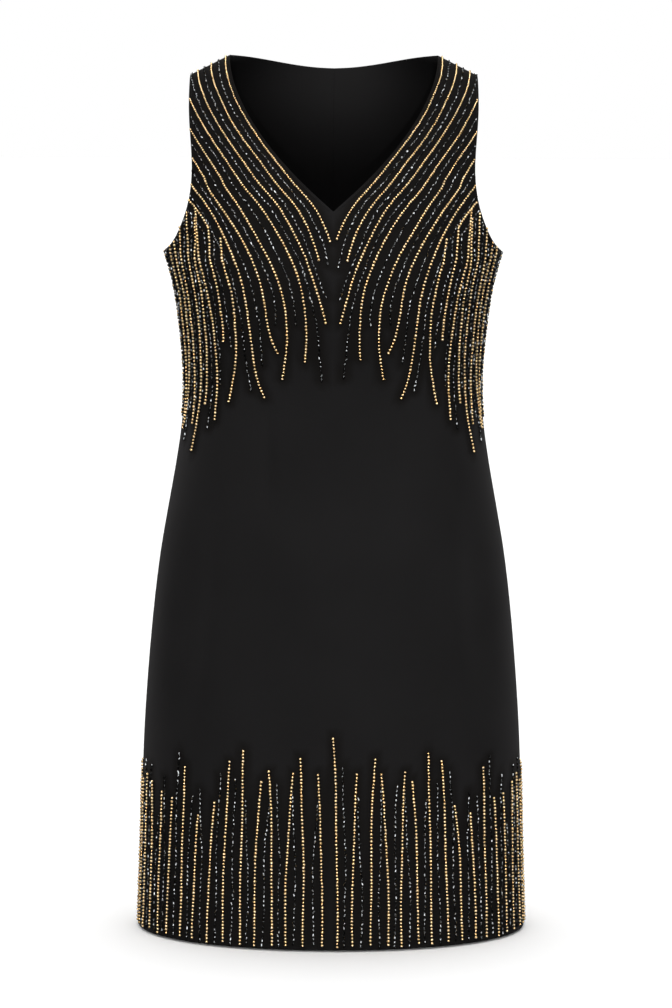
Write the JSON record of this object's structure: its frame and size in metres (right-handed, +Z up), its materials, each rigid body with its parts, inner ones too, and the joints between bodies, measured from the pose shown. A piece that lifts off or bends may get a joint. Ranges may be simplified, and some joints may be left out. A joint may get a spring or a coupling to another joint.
{
  "type": "sheath dress",
  "caption": "Sleeveless knee-length sheath dress with a V neck, hollow and filled out as worn, with falling and rising lines of beading.",
  "frame": {"origin": "midway between the two shoulder seams, at the height of their neck ends, where the wearer's shoulders carry the dress", "axes": "+Z up along the dress from hem to shoulders; the front faces -Y, so +Y points to the back; +X points to the wearer's left"},
  "size_m": [0.407, 0.2476, 0.9101],
  "materials": {
    "crepe": "matt near-black crepe with a soft sheen",
    "thread": "black edge stitching",
    "gold_beads": "polished round gold beads",
    "black_beads": "glossy black glass bugle beads"
  },
  "bodies": {
    "root": {"front": "crepe", "back_left": "crepe", "back_right": "crepe"}
  },
  "joints": []
}
